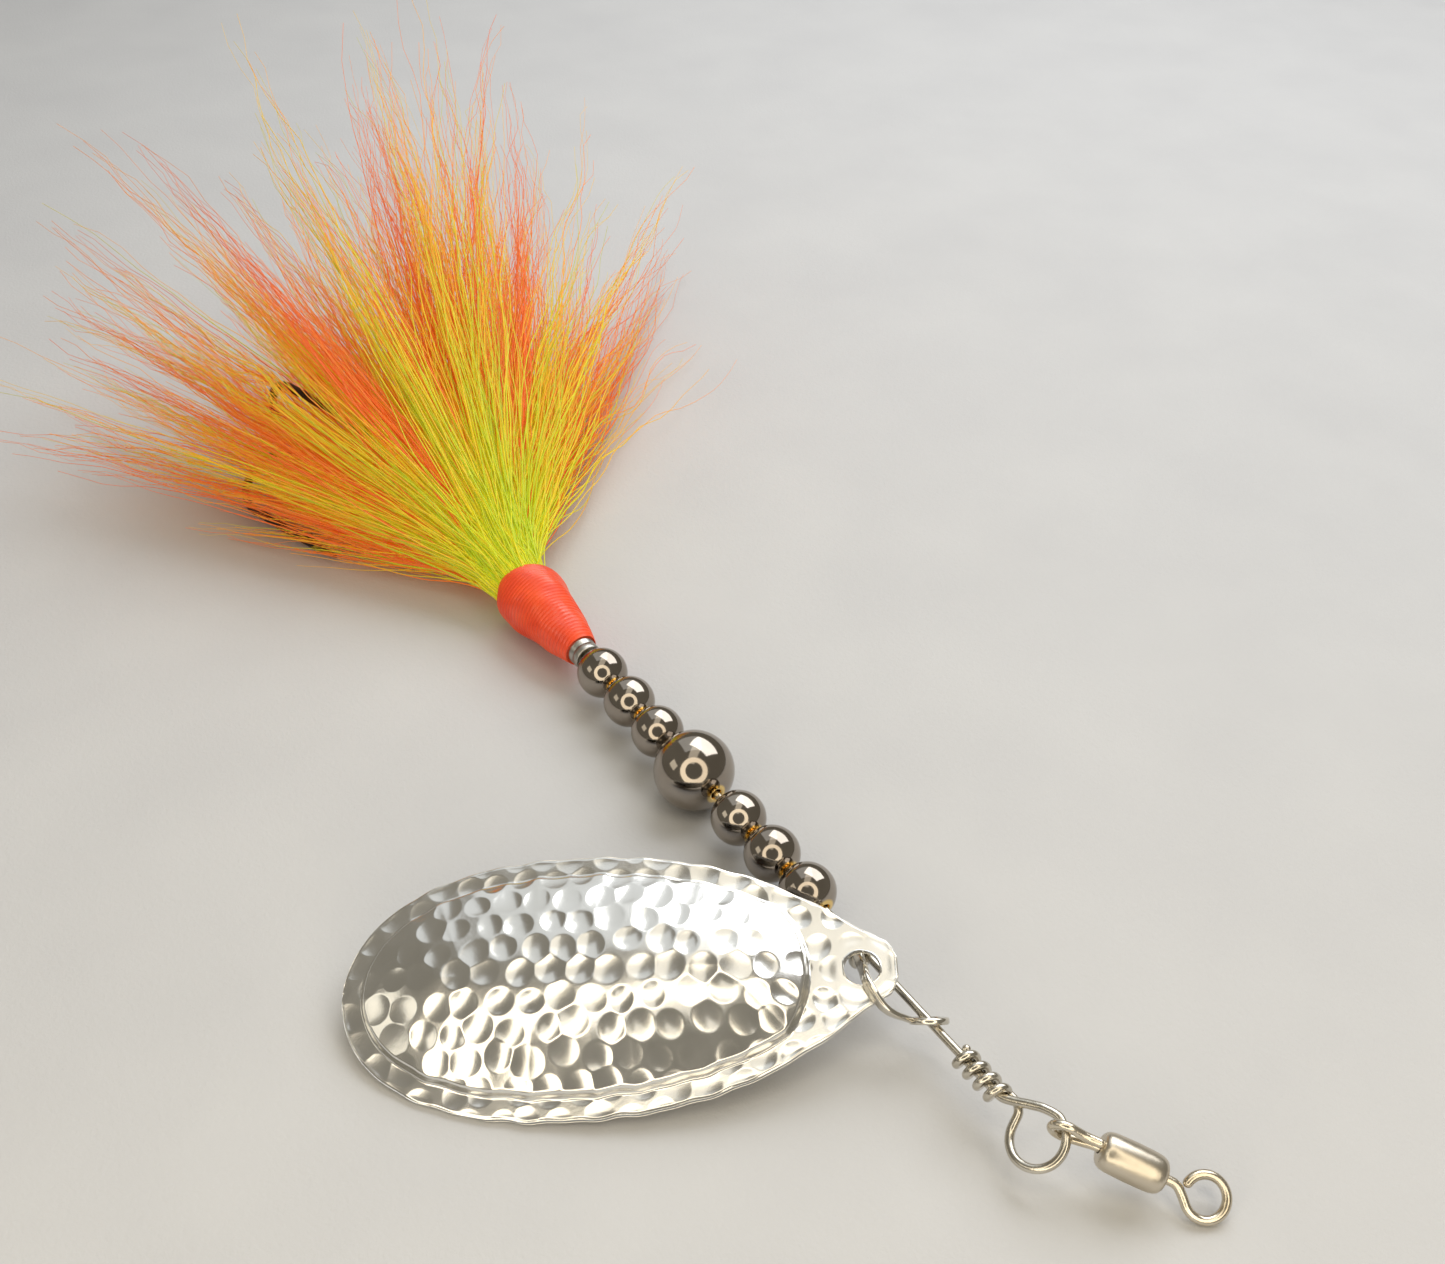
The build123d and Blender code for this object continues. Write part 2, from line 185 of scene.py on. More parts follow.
# Each ring of a tube's rounded end: how far out it is, and its own radius, in the tube's radii.
ROUNDING = np.array([1.0, 0.92, 0.71, 0.38])
NARROWING = np.array([0.0, 0.38, 0.71, 0.92])
SMALLEST_RING = 0.004


def tube(path, radius, sides):
    """Points and faces of a round bar along a path, its ends rounded to a pinhole."""
    path = np.asarray(path, float)
    radius = np.broadcast_to(np.asarray(radius, float), len(path)).copy()
    tangent, side, up = carried_frames(path)
    head = [path[0] - tangent[0] * radius[0] * out for out in ROUNDING]
    foot = [path[-1] + tangent[-1] * radius[-1] * out for out in ROUNDING[::-1]]
    rings = np.concatenate([head, path, foot])
    sizes = np.concatenate([radius[0] * NARROWING, radius, radius[-1] * NARROWING[::-1]])
    sizes = np.maximum(sizes, SMALLEST_RING)
    extra = len(ROUNDING)
    side = np.concatenate([np.repeat(side[:1], extra, 0), side, np.repeat(side[-1:], extra, 0)])
    up = np.concatenate([np.repeat(up[:1], extra, 0), up, np.repeat(up[-1:], extra, 0)])
    ring = circle(side, up, all_round(sides))
    points = (rings[:, None] + ring * sizes[:, None, None]).reshape(-1, 3)
    return points, band_faces(len(rings), sides)


def join_parts(parts):
    """Tubes and lathes joined into one list of points and one of quads."""
    points, faces, base = [], [], 0
    for part_points, part_faces in parts:
        points.append(part_points)
        faces.append(np.asarray(part_faces) + base)
        base += len(part_points)
    return np.concatenate(points), np.concatenate(faces)


def run_length(path):
    """How far along the path each of its points is."""
    return np.concatenate([[0], np.cumsum(np.linalg.norm(np.diff(path, axis=0), axis=1))])


def rounded_path(points, passes, step):
    """A path through corner points, its corners cut round, with points a step apart."""
    path = np.asarray(points, float)
    for _ in range(passes):
        cut = np.empty((2 * len(path) - 2, 3))
        cut[0::2] = path[:-1] * 0.75 + path[1:] * 0.25
        cut[1::2] = path[:-1] * 0.25 + path[1:] * 0.75
        path = np.concatenate([path[:1], cut, path[-1:]])
    run = run_length(path)
    even = np.linspace(0, run[-1], max(8, int(run[-1] / step)))
    return np.stack([np.interp(even, run, path[:, k]) for k in range(3)], -1)


def lathe(profile, axis_point, axis, sides, flip=True):
    """Points and faces of a profile of (along, radius) pairs turned about an axis.

    flip turns the faces outward where the profile runs forward along its outer side.
    """
    profile = np.asarray(profile, float)
    axis = unit(axis)
    side = square_to(axis)
    ring = circle(side, np.cross(axis, side), all_round(sides))
    points = axis_point + axis * profile[:, None, :1] + ring[None] * profile[:, None, 1:2]
    faces = band_faces(len(profile), sides)
    return points.reshape(-1, 3), faces[:, ::-1] if flip else faces


# ---- materials
def new_material(name, **values):
    """A Principled material with its plain values set on the shader's own sockets."""
    material = bpy.data.materials.new(name)
    material.use_nodes = True
    shader = material.node_tree.nodes["Principled BSDF"]
    for key, value in values.items():
        shader.inputs[key.replace("_", " ")].default_value = value
    return material, material.node_tree, shader


def add_node(tree, kind, **settings):
    """A shader node with its settings and unlinked inputs filled in."""
    node = tree.nodes.new(kind)
    for key, value in settings.items():
        if key in node.inputs:
            node.inputs[key].default_value = value
        else:
            setattr(node, key, value)
    return node


def noise(tree, scale, detail=3.0, roughness=0.5, stretch=None):
    """Noise in object space, in features per metre, stretched by a mapping if asked."""
    coordinates = tree.nodes.new("ShaderNodeTexCoord")
    texture = add_node(tree, "ShaderNodeTexNoise", Scale=scale, Detail=detail, Roughness=roughness)
    place = coordinates.outputs["Object"]
    if stretch:
        mapping = add_node(tree, "ShaderNodeMapping", Scale=stretch)
        tree.links.new(place, mapping.inputs["Vector"])
        place = mapping.outputs["Vector"]
    tree.links.new(place, texture.inputs["Vector"])
    return texture.outputs["Fac"]


def ramp(tree, source, stops):
    """A colour ramp of (position, colour) stops, driven by source."""
    node = tree.nodes.new("ShaderNodeValToRGB")
    elements = node.color_ramp.elements
    while len(elements) < len(stops):
        elements.new(0.5)
    for element, (position, colour) in zip(elements, stops):
        element.position = position
        element.color = (*colour, 1)
    tree.links.new(source, node.inputs["Fac"])
    return node.outputs["Color"]


def grey(value):
    """A grey colour, for ramps that carry a number."""
    return (value, value, value)


def bump(tree, shader, source, distance):
    """Surface relief of the given depth in metres."""
    node = add_node(tree, "ShaderNodeBump", Strength=1.0, Distance=distance)
    tree.links.new(source, node.inputs["Height"])
    tree.links.new(node.outputs["Normal"], shader.inputs["Normal"])


def smeared_gloss(tree, shader, scale, clean, smeared):
    """Roughness that wanders between two values."""
    gloss = ramp(tree, noise(tree, scale, 5.0, 0.6), ((0.35, grey(clean)), (0.75, grey(smeared))))
    tree.links.new(gloss, shader.inputs["Roughness"])


def blend_colours(tree, share, first, second):
    """The first colour where share is 0 and the second where it is 1; second may be a plain one."""
    mix = tree.nodes.new("ShaderNodeMix")
    mix.data_type = "RGBA"
    tree.links.new(share, mix.inputs["Factor"])
    tree.links.new(first, mix.inputs["A"])
    if isinstance(second, tuple):
        mix.inputs["B"].default_value = (*second, 1)
    else:
        tree.links.new(second, mix.inputs["B"])
    return mix.outputs["Result"]


def metal(name, dark, bright, roughness, worn=0.12, grain=900.0, relief=0.00001):
    """Plated or drawn metal: uneven colour, smears in its gloss and a fine grain."""
    material, tree, shader = new_material(name, Metallic=1.0)
    tint = ramp(tree, noise(tree, grain * 0.35, 4.0), ((0.35, dark), (0.65, bright)))
    tree.links.new(tint, shader.inputs["Base Color"])
    smeared_gloss(tree, shader, grain, roughness, roughness + worn)
    bump(tree, shader, noise(tree, grain * 4, 3.0), relief)
    return material


def bead_metal():
    """Polished black nickel, with a painted golden glint coloured in round the bore."""
    material, tree, shader = new_material("bead_metal", Metallic=1.0)
    stops = ((0.35, (0.30, 0.26, 0.22)), (0.65, (0.36, 0.32, 0.275)))
    plated = ramp(tree, noise(tree, 260.0, 4.0), stops)
    reach = add_node(tree, "ShaderNodeAttribute", attribute_name="from_bore").outputs["Fac"]
    # Painted glint: the base colour turns gold near the bore.
    painted_bore_glint = ramp(tree, reach, ((0.80, grey(1.0)), (1.20, grey(0.0))))
    colour = blend_colours(tree, painted_bore_glint, plated, (0.92, 0.66, 0.26))
    tree.links.new(colour, shader.inputs["Base Color"])
    smeared_gloss(tree, shader, 700.0, 0.075, 0.13)
    return material


def give(piece, material):
    """The piece's only material."""
    piece.data.materials.clear()
    piece.data.materials.append(material)


WIRE_METAL = metal("wire_metal", (0.50, 0.46, 0.38), (0.68, 0.64, 0.56), 0.16)
BLADE_METAL = metal(
    "blade_metal", (0.76, 0.745, 0.705), (0.86, 0.85, 0.82), 0.16,
    worn=0.06, grain=500.0, relief=0.000004,
)
BEAD_METAL = bead_metal()
CLEVIS_METAL = metal("clevis_metal", (0.58, 0.54, 0.46), (0.74, 0.70, 0.62), 0.12)
TUBE_METAL = metal("tube_metal", (0.36, 0.35, 0.32), (0.52, 0.50, 0.46), 0.28)
BARREL_METAL = metal(
    "barrel_metal", (0.56, 0.50, 0.40), (0.66, 0.60, 0.50), 0.26, worn=0.10, grain=450.0,
)
SWIVEL_WIRE_METAL = metal("swivel_wire_metal", (0.55, 0.48, 0.36), (0.72, 0.66, 0.55), 0.18)
HOOK_METAL = metal("hook_metal", (0.045, 0.035, 0.028), (0.09, 0.07, 0.055), 0.26, worn=0.15)


# ---- camera, floor and light
CAMERA_AZIMUTH = 55.96
CAMERA_ELEVATION = 39.23
CAMERA_DISTANCE = 130.53  # from the big bead, along the view
CAMERA_SHIFT = (2.48, 12.07)  # from the big bead, across and up the view
CAMERA_LENS = 37.29

FLOOR_REACH = 4000.0

BACK = heading(CAMERA_AZIMUTH - 90, CAMERA_ELEVATION)  # from the lure towards the camera
RIGHT = unit(np.cross([0, 0, 1], BACK))
UP = np.cross(BACK, RIGHT)


def add_camera():
    """The camera at the photograph's viewing angle."""
    data = bpy.data.cameras.new("camera")
    data.lens = CAMERA_LENS
    data.sensor_width = 36.0
    data.sensor_fit = "HORIZONTAL"
    data.clip_start = 0.002
    data.clip_end = 20.0
    camera = put_in_scene("camera", data)
    place = to_world(BACK * CAMERA_DISTANCE + RIGHT * CAMERA_SHIFT[0] + UP * CAMERA_SHIFT[1])
    turn = Matrix(np.stack([RIGHT, UP, BACK], 1).tolist()).to_4x4()
    camera.matrix_world = Matrix.Translation(Vector(place)) @ turn
    bpy.context.scene.camera = camera


def stage_mesh(name, points, faces):
    """A mesh of the stage, from lure millimetres."""
    mesh = bpy.data.meshes.new(name)
    mesh.from_pydata(to_world(points).tolist(), [], faces)
    thing = put_in_scene(name, mesh)
    return thing


def add_floor():
    """A plain pale floor under the big bead."""
    reach, low = FLOOR_REACH, FLOOR - 0.01
    corners = [(-reach, -reach, low), (reach, -reach, low), (reach, reach, low), (-reach, reach, low)]
    floor = stage_mesh("floor", corners, [(0, 1, 2, 3)])
    material, tree, shader = new_material("floor_paper", Roughness=0.75)
    tint = ramp(tree, noise(tree, 60.0, 4.0), ((0.3, (0.53, 0.53, 0.535)), (0.7, (0.56, 0.56, 0.562))))
    tree.links.new(tint, shader.inputs["Base Color"])
    bump(tree, shader, noise(tree, 2600.0, 3.0), 0.00004)
    give(floor, material)


def add_area(name, place, size, watts, colour):
    """A soft box at a place in lure millimetres, facing the big bead."""
    data = bpy.data.lights.new(name, "AREA")
    data.shape = "RECTANGLE"
    data.size, data.size_y = size[0] * MM, size[1] * MM
    data.energy = watts
    data.color = colour
    lamp = put_in_scene(name, data)
    place = to_world(place)
    turn = Vector(BEAD_PLACE - place).to_track_quat("-Z", "Y").to_matrix().to_4x4()
    lamp.matrix_world = Matrix.Translation(Vector(place)) @ turn


def add_ring_lamp():
    """A ring lamp round the camera, hidden from camera rays."""
    inner, outer, behind, sides = 60.0, 108.0, 6, 96
    middle = BACK * (CAMERA_DISTANCE + behind) + RIGHT * CAMERA_SHIFT[0] + UP * CAMERA_SHIFT[1]
    ring = circle(RIGHT, UP, all_round(sides))
    points = np.concatenate([middle + ring * inner, middle + ring * outer])
    lamp = stage_mesh("ring_lamp", points, band_faces(2, sides).tolist())
    glow = {"Emission_Color": (1.0, 0.90, 0.72, 1), "Emission_Strength": 2.5}
    give(lamp, new_material("ring_lamp_glow", Base_Color=(0, 0, 0, 1), **glow)[0])
    lamp.visible_camera = False


def add_light():
    """Soft studio light: four boxes round and over the lure, a ring at the camera and a dim warm room."""
    add_area("window", (-90, 240, 290), (400, 290), 1.20, (0.95, 0.97, 1.0))
    add_area("sky", (-245, 110, 330), (330, 420), 0.26, (0.88, 0.94, 1.0))
    add_area("lamp", (-8, 10, 331), (130, 380), 0.13, (1.0, 0.95, 0.84))
    add_area("side", (-120, -300, 190), (150, 110), 0.055, (1.0, 0.94, 0.80))
    add_ring_lamp()
    world = bpy.data.worlds.new("studio")
    world.use_nodes = True
    background = world.node_tree.nodes["Background"]
    background.inputs["Color"].default_value = (1.0, 0.93, 0.78, 1)
    background.inputs["Strength"].default_value = 0.24
    bpy.context.scene.world = world
    bpy.context.scene.view_settings.view_transform = "Standard"


add_camera()
add_floor()
add_light()


# ---- shaft wire
WRAP_TURNS = 4
WRAP_PITCH = 1.10
WRAP_FRONT = 39.4  # where the first turn starts, along the shaft
WRAP_RADIUS = 2 * WIRE + 0.02
LOOP_TILT = 33.5  # the front loop's plane, degrees up from +Y
LOOP_ACROSS = np.array([0, cos(radians(LOOP_TILT)), sin(radians(LOOP_TILT))])
LOOP_UP = np.cross([1.0, 0, 0], LOOP_ACROSS)
REAR_LOOP_RADIUS = 1.60
REAR_LOOP_X = HOOK_PIVOT[0] + REAR_LOOP_RADIUS  # its centre


def loop_point(x, across, up=0.0):
    """A place given in the front loop's plane, and up off it."""
    return np.array([x, 0, 0]) + LOOP_ACROSS * across + LOOP_UP * up


LOOP_RADIUS = 2.08
LOOP_CENTRE = (43.10, -0.10)  # along the shaft, and across it in the loop's plane
LOOP_UNDER = -0.62  # how far the loop has sunk under its own leg when it comes back
# The leg from the shaft into the loop, and the return from the loop to the first turn.
LOOP_LEG = ((38.8, 0.0), (39.5, 0.08), (40.3, 0.52), (41.2, 1.12), (42.1, 1.65))
LOOP_RETURN = ((40.78, 0.10, -0.70), (40.20, 0.50, -0.68))


def through_path(points, step=0.10):
    """A smooth path that passes through every point, with points a step apart."""
    points = np.asarray(points, float)
    ahead = np.vstack([2 * points[:1] - points[1:2], points, 2 * points[-1:] - points[-2:-1]])
    pieces = []
    for before, start, end, after in zip(ahead[:-3], ahead[1:-2], ahead[2:-1], ahead[3:]):
        count = max(2, int(np.linalg.norm(end - start) / step))
        t = np.linspace(0, 1, count, endpoint=False)[:, None]
        pieces.append(hermite(t, start, end, (end - before) / 2, (after - start) / 2))
    return np.concatenate([*pieces, points[-1:]])


def front_loop_path():
    """From the shaft round the loop, under its own leg, then in turns back along the shaft."""
    bends = [loop_point(*place) for place in LOOP_LEG]
    for angle in range(90, -166, -15):
        x = LOOP_CENTRE[0] + LOOP_RADIUS * cos(radians(angle))
        across = LOOP_CENTRE[1] + LOOP_RADIUS * sin(radians(angle))
        bends.append(loop_point(x, across, LOOP_UNDER * smooth(-angle, 50, 165)))
    bends += [loop_point(*place) for place in LOOP_RETURN]
    for angle in np.arange(0, WRAP_TURNS * 360 + 1, 15):
        spin = radians(angle - 40)
        x = WRAP_FRONT - 0.02 - WRAP_PITCH * angle / 360
        bends.append(loop_point(x, WRAP_RADIUS * cos(spin), WRAP_RADIUS * sin(spin)))
    return through_path(bends)


def rear_loop_path():
    """The hidden loop at the shaft's rear end, which carries the treble hook."""
    angles = np.radians(np.arange(-20, 341, 6))
    along, up = REAR_LOOP_RADIUS * np.cos(angles), REAR_LOOP_RADIUS * np.sin(angles)
    return np.stack([REAR_LOOP_X + along, 0 * angles, up], -1)


def make_shaft_wire():
    """The wire: its straight with the front loop and the wrapped end, and the rear loop."""
    start = REAR_LOOP_X + REAR_LOOP_RADIUS - 0.1
    straight = np.linspace((start, 0, 0), (WRAP_FRONT - 0.6, 0, 0), 60)
    whole = np.concatenate([straight[:-1], front_loop_path()])
    points, faces = join_parts([tube(whole, WIRE, 20), tube(rear_loop_path(), WIRE, 14)])
    piece = make_mesh("shaft_wire_bent", points, faces, "shaft", ("shaft_wire",))
    give(piece, WIRE_METAL)


make_shaft_wire()


# ---- beads
BORE = 0.50  # radius


def make_bead(node):
    """A polished bead with a bore, its mouth slightly broken."""
    low, high = box_mm(node)
    radius = (high[2] - low[2]) / 2
    centre = (low + high) / 2
    mouth = np.arcsin((BORE + 0.05) / radius)
    angle = np.linspace(mouth, pi - mouth, 72)
    outer = np.stack([-np.cos(angle) * radius, np.sin(angle) * radius], -1)
    end = radius * cos(mouth)
    inner = [(end - 0.06, BORE), (end - 0.6, BORE - 0.02), (0.6 - end, BORE - 0.02), (0.06 - end, BORE)]
    profile = np.concatenate([outer, inner, outer[:1]])
    points, faces = lathe(profile, centre, (1, 0, 0), 96, flip=False)
    piece = make_mesh(f"{node}_polished", points, faces, node, (node,))
    mark_points(piece, "from_bore", np.hypot(points[:, 1] - centre[1], points[:, 2] - centre[2]))
    give(piece, BEAD_METAL)


for bead in sorted(node for node in frame["nodes"] if "bead" in node):
    make_bead(bead)


# ---- blade
BLADE_AIM = heading(-124.2, -5.0)
BLADE_AXIS = unit(BLADE_AIM - BLADE_NORMAL * np.dot(BLADE_AIM, BLADE_NORMAL))
BLADE_SIDE = np.cross(BLADE_NORMAL, BLADE_AXIS)
BLADE_LENGTH = 42.0
BLADE_TIP = -2.65  # from the hole's centre, along the blade
BLADE_THICKNESS = 0.60
BLADE_HOLE_RADIUS = 1.35
BLADE_SINK = 0.10  # the underside's depth below the hole's centre
BLADE_LIP = 0.10  # how much each face is rounded off at the edge
BLADE_ROWS, BLADE_COLUMNS = 420, 190
# Half widths of the outline at shares of the length from the truncated tip.
OUTLINE = (
    (0, 0.75), (0.008, 1.55), (0.030, 2.35), (0.065, 3.20), (0.115, 4.70), (0.18, 6.30),
    (0.26, 7.95), (0.35, 9.15), (0.45, 9.95), (0.56, 10.25), (0.66, 10.15), (0.75, 9.65),
    (0.83, 8.65), (0.89, 7.40), (0.94, 5.75), (0.975, 3.80), (0.993, 2.0), (1.0, 0.0),
)
DOME_RIM = 1.55  # width of the flat rim round the dome
DOME_ARC = 7.9  # radius of the dome's front end
DOME_ARC_AT = 14.5  # its centre, from the tip
DOME_STEP = 0.60  # height of the step at its rim
DOME_RISE = 1.90  # how much the dome rises above the step
DOME_REACH = 8.0  # how far inside the rim it is at its full height
DIMPLE_SPACING = 2.35
DIMPLE_RADIUS = 1.10
DIMPLE_DEPTH = 0.125
ROW_SPACING = DIMPLE_SPACING * 0.866


def outline_half(share):
    """Half width of the blade at a share of its length, smooth through the outline's points."""
    table = np.array(OUTLINE)
    # The rear end closes like a circle, so the curve is drawn against an angle and not the share.
    angle = pi / 2 - np.arcsin(np.clip(table[:, 0], 0, 1))
    want = pi / 2 - np.arcsin(np.clip(share, 0, 1))
    order = np.argsort(angle)
    x, y = angle[order], table[:, 1][order]
    slope = np.gradient(y, x)
    i = np.clip(np.searchsorted(x, want) - 1, 0, len(x) - 2)
    h = x[i + 1] - x[i]
    t = np.clip((want - x[i]) / h, 0, 1)
    return hermite(t, y[i], y[i + 1], h * slope[i], h * slope[i + 1])


def dimple_places(rng):
    """Hammer marks in uneven rows over the blade, each with its own size, shape and depth."""
    places = []
    rows = int(24 / ROW_SPACING) + 1
    for row in range(-rows // 2, rows // 2 + 1):
        for column in range(-2, int(BLADE_LENGTH / DIMPLE_SPACING) + 2):
            x = (column + 0.5 * (row % 2)) * DIMPLE_SPACING
            y = row * ROW_SPACING
            shift = rng.uniform(-0.15, 0.15, 2) * DIMPLE_SPACING
            radius = DIMPLE_RADIUS * rng.uniform(0.92, 1.15)
            narrow, angle, strength = rng.uniform(0.84, 1.0), rng.uniform(0, pi), rng.uniform(0.75, 1.2)
            places.append((x + shift[0], y + shift[1], radius, narrow, angle, strength))
    return places


def dimple_depth(x, y, places):
    """How deep the hammer marks are at each point."""
    depth = np.zeros_like(x)
    for px, py, radius, narrow, angle, strength in places:
        near = (np.abs(x - px) < radius) & (np.abs(y - py) < radius)
        if not near.any():
            continue
        dx, dy = x[near] - px, y[near] - py
        long_way = dx * cos(angle) + dy * sin(angle)
        short_way = (dy * cos(angle) - dx * sin(angle)) / narrow
        reach = (long_way**2 + short_way**2) / radius**2
        mark = np.clip(1 - reach, 0, 1) * DIMPLE_DEPTH * strength
        depth[near] = np.maximum(depth[near], mark)
    return depth


def blade_grid():
    """Places over the blade's flat outline: along it, across it, and in from its edge."""
    even = np.linspace(0, 1, BLADE_ROWS)
    share = 0.5 * np.sin(even * pi / 2) + 0.5 * even
    x = share[:, None] * BLADE_LENGTH * np.ones(BLADE_COLUMNS)[None]
    across = np.linspace(-1, 1, BLADE_COLUMNS)
    across = np.sin(across * pi / 2) * 0.35 + across * 0.65
    half = outline_half(share)
    half = half * (1 + 0.005 * np.sin(share * 61) + 0.004 * np.sin(share * 97 + 1))
    half[-1] = 0.02
    y = half[:, None] * across[None]

    left, right = (np.stack([share * BLADE_LENGTH, half * way], -1) for way in (1, -1))
    tip = np.stack([np.zeros(20), np.linspace(-half[0], half[0], 20)], -1)
    edge = np.concatenate([left, right[::-1], tip])
    inset = np.full(x.shape, 1e9)
    for start in range(0, len(edge), 60):
        part = edge[start:start + 60]
        gap = np.hypot(x[..., None] - part[:, 0], y[..., None] - part[:, 1]).min(-1)
        inset = np.minimum(inset, gap)
    return x, y, inset


def blade_relief(x, y, inset, hole):
    """Heights of the blade's upper and lower faces: the stepped dome, the dimples and the lip."""
    to_arc = DOME_ARC - np.hypot(np.minimum(x - DOME_ARC_AT, 0), y * (x < DOME_ARC_AT))
    inside = np.where(x < DOME_ARC_AT, np.minimum(inset - DOME_RIM, to_arc), inset - DOME_RIM)
    height = DOME_STEP * smooth(inside, -0.10, 0.40)
    rise = np.clip(inside / DOME_REACH, 0, 1)
    height += DOME_RISE * (1 - (1 - rise) ** 2)
    on_rim = smooth(inside, 0.3, -0.2) * smooth(x, DOME_ARC_AT - 6, DOME_ARC_AT)
    depth = dimple_depth(x, y, dimple_places(np.random.default_rng(7)))
    height -= depth * smooth(inset, -0.3, 0.5) * (1 - 0.45 * on_rim) * smooth(hole, 1.6, 3.0)
    lip = BLADE_LIP * smooth(inset, 0.18, 0.0)
    return height - lip + BLADE_THICKNESS, height + lip


def make_blade():
    """The hammered blade as a thin shell with real dimples, a step round the dome and a hole."""
    x, y, inset = blade_grid()
    hole = np.hypot(x + BLADE_TIP, y)
    top, under = blade_relief(x, y, inset, hole)
    origin = BLADE_HOLE - BLADE_NORMAL * BLADE_SINK

    count = x.size
    index = np.arange(count).reshape(x.shape)
    quads = [index[:-1, :-1], index[1:, :-1], index[1:, 1:], index[:-1, 1:]]
    quads = np.stack(quads, -1).reshape(-1, 4)
    keep = hole.ravel() > BLADE_HOLE_RADIUS * 0.985
    quads = quads[keep[quads].all(1)]

    # The border is every edge that only one quad has; round the hole it is pulled to the true radius.
    edges = np.concatenate([quads[:, [0, 1]], quads[:, [1, 2]], quads[:, [2, 3]], quads[:, [3, 0]]])
    key = np.sort(edges, 1)
    _, first, counts = np.unique(key[:, 0] * count + key[:, 1], return_index=True, return_counts=True)
    border = edges[first[counts == 1]]

    rim_ids = np.unique(border)
    rim_hole = rim_ids[hole.ravel()[rim_ids] < BLADE_HOLE_RADIUS * 1.6]
    pull = BLADE_HOLE_RADIUS / hole.ravel()[rim_hole]
    flat_x, flat_y = (x + BLADE_TIP).ravel().copy(), y.ravel().copy()
    flat_x[rim_hole] *= pull
    flat_y[rim_hole] *= pull
    spread = flat_x[:, None] * BLADE_AXIS + flat_y[:, None] * BLADE_SIDE

    upper = origin + spread + top.ravel()[:, None] * BLADE_NORMAL
    lower = origin + spread + under.ravel()[:, None] * BLADE_NORMAL
    points = np.concatenate([upper, lower])
    walls = np.stack([border[:, 1], border[:, 0], border[:, 0] + count, border[:, 1] + count], -1)
    faces = np.concatenate([quads[:, ::-1], quads + count, walls])
    used = np.unique(faces)
    renumber = np.zeros(len(points), np.int64)
    renumber[used] = np.arange(len(used))
    points, faces = points[used], renumber[faces]
    piece = make_mesh("blade_hammered", points, faces, "blade", ("blade",))
    give(piece, BLADE_METAL)


make_blade()


# ---- tail tube
def make_tail_tube():
    """The tail tube's open front end, with its wall, a turned groove and the cement inside."""
    low, high = box_mm("tail_tube")
    radius, length = (high[2] - low[2]) / 2, high[0] - low[0]
    wall, bore = 0.26, WIRE + 0.03
    # Each pair is a distance back from the front end and a depth below the outer surface.
    outside = ((0.98, 0), (0.92, 0.05), (0.80, 0.05), (0.74, 0), (0.12, 0), (0.03, 0.04), (0, 0.10))
    inside = ((0, wall), (0.04, wall + 0.04), (0.45, wall + 0.06))
    cement = ((0.50, 0.90), (0.42, 0.55), (0.40, bore))
    profile = [(0, bore), (0, radius - 0.10), (0.05, radius - 0.03), (0.14, radius)]
    profile += [(length - back, radius - depth) for back, depth in outside + inside]
    profile += [*((length - back, out) for back, out in cement), (0, bore)]
    points, faces = lathe(profile, np.array([low[0], 0, 0]), (1, 0, 0), 72)
    piece = make_mesh("tail_tube_turned", points, faces, "shaft", ("tail_tube",))
    give(piece, TUBE_METAL)


make_tail_tube()


# ---- swivel
SWIVEL_WIRE = 0.35
LURE_EYE_RADIUS = 0.88
LURE_EYE_NOSE = -0.09  # the nose's centre, along the swivel's axis from the front loop's wire
LINE_EYE_RADIUS = 1.50
LINE_EYE_NORMAL = unit(np.array(frame["record"]["mounts"][0]["axis"], float))
BARREL = (2.50, 7.30)  # the barrel's two ends, along the swivel's axis
BARREL_RADIUS = 1.40
HEADS = (3.03, 6.77)  # the outer faces of the eyes' heads, inside the barrel


def swivel_place(along, across, normal):
    """A place in the plane through the swivel's axis that has this normal."""
    return SWIVEL_PIVOT + SWIVEL_AXIS * along + np.cross(normal, SWIVEL_AXIS) * across


def arc(centre, radius, first, last):
    """Points (along, across) about every 8 degrees round an arc, its angles in degrees."""
    angles = np.radians(np.linspace(first, last, int((last - first) / 8)))
    return [(centre + radius * cos(angle), radius * sin(angle)) for angle in angles]


def eye_piece(name, route, normal, head, body, node):
    """A swivel eye: a bent wire with its round head on its hidden end."""
    path = rounded_path([swivel_place(*place, normal) for place in route], passes=2, step=0.07)
    side = 1 if head == HEADS[0] else -1
    profile = [(0, 0.01), (0, 0.70), (0.06, 0.75), (0.64, 0.75), (0.70, 0.68), (0.70, 0.01)]
    disc = lathe(profile, SWIVEL_PIVOT + SWIVEL_AXIS * head, SWIVEL_AXIS * side, 40)
    points, faces = join_parts([tube(path, SWIVEL_WIRE, 20), disc])
    piece = make_mesh(name, points, faces, body, (node,))
    give(piece, SWIVEL_WIRE_METAL)


